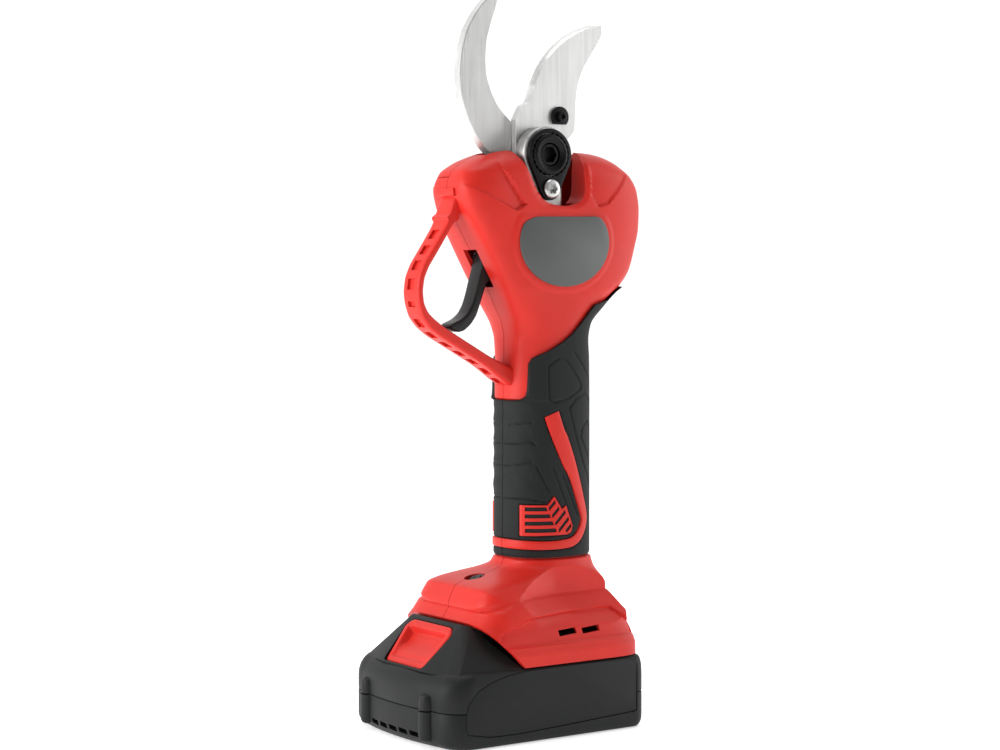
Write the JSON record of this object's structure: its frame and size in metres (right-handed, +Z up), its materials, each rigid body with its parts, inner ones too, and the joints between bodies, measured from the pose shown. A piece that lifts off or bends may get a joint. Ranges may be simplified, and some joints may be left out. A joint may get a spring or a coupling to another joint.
{
  "type": "battery electric pruner",
  "caption": "Upright cordless pruner with a hooked blade and a moving cutting blade, a trigger inside a bow guard, a rubber grip and a slide-off battery pack that it stands on.",
  "frame": {"origin": "on the flat bottom of the battery pack, below the middle of the grip", "axes": "+Z up along the grip, -X to the front where the trigger and the pack latch are, -Y to the cheek with the pivot nut"},
  "size_m": [0.1242, 0.08, 0.313],
  "materials": {
    "red_plastic": "fine textured moulding",
    "black_rubber": "matt overmould",
    "black_plastic": "fine textured moulding",
    "grey_badge": "smooth",
    "ground_steel": "ground and polished",
    "blackened_steel": "black oxide",
    "bright_steel": "bright",
    "cast_aluminium": "satin casting",
    "sintered_bronze": "sintered",
    "circuit_board": "solder mask",
    "copper": "plated",
    "cell_wrap": "heat-shrink wrap"
  },
  "bodies": {
    "housing": {"badge_left": "grey_badge", "badge_right": "grey_badge", "controller_board": "circuit_board", "fixed_blade": "ground_steel", "fixed_blade_screw_1": "blackened_steel", "fixed_blade_screw_2": "blackened_steel", "gear_case": "cast_aluminium", "grip_rubber_left": "black_rubber", "grip_rubber_right": "black_rubber", "housing_left": "red_plastic", "housing_right": "red_plastic", "housing_screw_1": "blackened_steel", "housing_screw_2": "blackened_steel", "housing_screw_3": "blackened_steel", "housing_screw_4": "blackened_steel", "housing_screw_5": "blackened_steel", "lock_plate": "blackened_steel", "lock_screw": "bright_steel", "motor_bearing_front": "bright_steel", "motor_bearing_rear": "bright_steel", "motor_can": "bright_steel", "motor_end_cap": "black_plastic", "output_bearing": "bright_steel", "pivot_bolt": "blackened_steel", "pivot_bush": "sintered_bronze", "pivot_nut": "blackened_steel", "power_button_bezel": "black_plastic", "rail_plate": "black_plastic", "ring_gear": "blackened_steel", "terminal_block": "black_plastic", "terminal_negative": "copper", "terminal_positive": "copper", "thrust_washer": "sintered_bronze", "trigger_guard": "red_plastic", "trigger_pin": "bright_steel", "trigger_sensor": "circuit_board", "trigger_spring": "bright_steel"},
    "blade": {"moving_blade": "ground_steel", "blade_screw": "blackened_steel", "sector_gear": "blackened_steel"},
    "carrier": {"planet_carrier": "blackened_steel", "bevel_pinion": "blackened_steel"},
    "planet_1": {"planet_gear_1": "blackened_steel"},
    "planet_2": {"planet_gear_2": "blackened_steel"},
    "planet_3": {"planet_gear_3": "blackened_steel"},
    "rotor": {"sun_gear": "blackened_steel", "motor_shaft": "bright_steel", "rotor_core": "copper"},
    "trigger": {"trigger": "black_plastic"},
    "power_button": {"power_button": "black_plastic"},
    "pack": {"battery_case_lower": "black_plastic", "battery_case_upper": "black_plastic", "battery_board": "circuit_board", "cell_1": "cell_wrap", "cell_2": "cell_wrap", "cell_3": "cell_wrap", "cell_4": "cell_wrap", "cell_5": "cell_wrap"},
    "latch": {"battery_latch": "red_plastic", "latch_spring": "bright_steel"}
  },
  "joints": [
    {"name": "blade_pivot", "type": "hinge", "parent": "housing", "child": "blade", "pos_m": [-0.007, 0, 0.2445], "axis": [0, -1, 0], "range_deg": [0, 55]},
    {"name": "carrier_spin", "type": "hinge", "parent": "housing", "child": "carrier", "pos_m": [-0.007, 0, 0.21], "axis": [0, 0, 1], "range_deg": [-168, 3]},
    {"name": "rotor_spin", "type": "hinge", "parent": "housing", "child": "rotor", "pos_m": [-0.007, 0, 0.165], "axis": [0, 0, 1], "range_deg": [-775, 5]},
    {"name": "planet_1_spin", "type": "hinge", "parent": "carrier", "child": "planet_1", "pos_m": [-0.0007, 0, 0.1855], "axis": [0, 0, 1], "range_deg": [-5, 460]},
    {"name": "planet_2_spin", "type": "hinge", "parent": "carrier", "child": "planet_2", "pos_m": [-0.01015, 0.00546, 0.1855], "axis": [0, 0, 1], "range_deg": [-5, 460]},
    {"name": "planet_3_spin", "type": "hinge", "parent": "carrier", "child": "planet_3", "pos_m": [-0.01015, -0.00546, 0.1855], "axis": [0, 0, 1], "range_deg": [-5, 460]},
    {"name": "trigger_pull", "type": "hinge", "parent": "housing", "child": "trigger", "pos_m": [-0.029, 0, 0.2005], "axis": [0, -1, 0], "range_deg": [0, 13], "stiffness_Nm_per_rad": 0.08, "springref_deg": -14.32},
    {"name": "power_button_press", "type": "slide", "parent": "housing", "child": "power_button", "axis": [0.4305, 0, -0.9026], "range_m": [0, 0.0008], "stiffness_N_per_m": 600, "springref_m": -0.0005},
    {"name": "pack_slide", "type": "slide", "parent": "housing", "child": "pack", "axis": [-1, 0, 0], "range_m": [0, 0.11]},
    {"name": "latch_press", "type": "slide", "parent": "pack", "child": "latch", "axis": [0.7514, 0, -0.6598], "range_m": [0, 0.0025], "stiffness_N_per_m": 900, "springref_m": -0.001}
  ],
  "couplings": [
    {"joint": "carrier_spin", "follows": "blade_pivot", "ratio": -3},
    {"joint": "rotor_spin", "follows": "blade_pivot", "ratio": -14},
    {"joint": "planet_1_spin", "follows": "blade_pivot", "ratio": 8.25},
    {"joint": "planet_2_spin", "follows": "blade_pivot", "ratio": 8.25},
    {"joint": "planet_3_spin", "follows": "blade_pivot", "ratio": 8.25}
  ]
}
